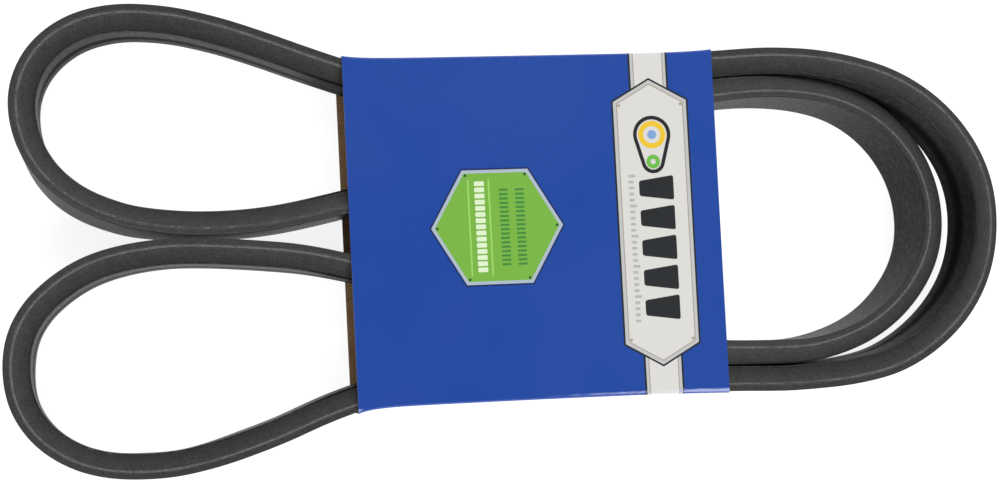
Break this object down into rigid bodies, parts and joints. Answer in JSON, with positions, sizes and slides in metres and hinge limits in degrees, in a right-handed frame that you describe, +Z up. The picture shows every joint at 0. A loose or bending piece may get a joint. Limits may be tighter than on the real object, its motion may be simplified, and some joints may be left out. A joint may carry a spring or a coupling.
{
  "type": "v-belt in sleeve",
  "caption": "Endless raw-edge V-belt folded flat into loops and held in an open-ended printed paperboard sleeve.",
  "frame": {"origin": "under the middle of the whole object's box, on the surface it lies on", "axes": "+X along the sleeve towards the single large loop, +Y across the sleeve, +Z up out of the surface, along the belt's width"},
  "size_m": [0.3308, 0.15, 0.0142],
  "materials": {
    "back_fabric": "rubberised cotton weave, worn matte",
    "overcord_rubber": "cut rubber, matte",
    "cushion_gum": "cut rubber, matte",
    "compression_rubber": "fibre-loaded rubber, ground flank",
    "bottom_fabric": "rubberised fabric, dusty",
    "tensile_cord": "twisted polyester yarn",
    "printed_board": "coated board, offset printed, satin",
    "kraft_board": "plain kraft, matte",
    "glue": "dried hot-melt glue"
  },
  "bodies": {
    "belt": {"back_fabric_outer_ply": "back_fabric", "back_fabric_inner_ply": "back_fabric", "overcord_rubber": "overcord_rubber", "cord_cushion_gum": "cushion_gum", "compression_rubber": "compression_rubber", "bottom_fabric": "bottom_fabric", "tensile_cord_1": "tensile_cord", "tensile_cord_2": "tensile_cord", "tensile_cord_3": "tensile_cord", "tensile_cord_4": "tensile_cord", "tensile_cord_5": "tensile_cord", "tensile_cord_6": "tensile_cord", "tensile_cord_7": "tensile_cord", "tensile_cord_8": "tensile_cord"},
    "sleeve": {"sleeve_front_panel": "printed_board", "sleeve_back_panel": "printed_board", "sleeve_upper_side": "printed_board", "sleeve_lower_side": "printed_board", "sleeve_glue_flap": "kraft_board", "sleeve_glue_line": "glue"}
  },
  "joints": [
    {"name": "sleeve_slide", "type": "slide", "parent": "belt", "child": "sleeve", "axis": [1, 0, 0], "range_m": [0, 0.225]}
  ]
}
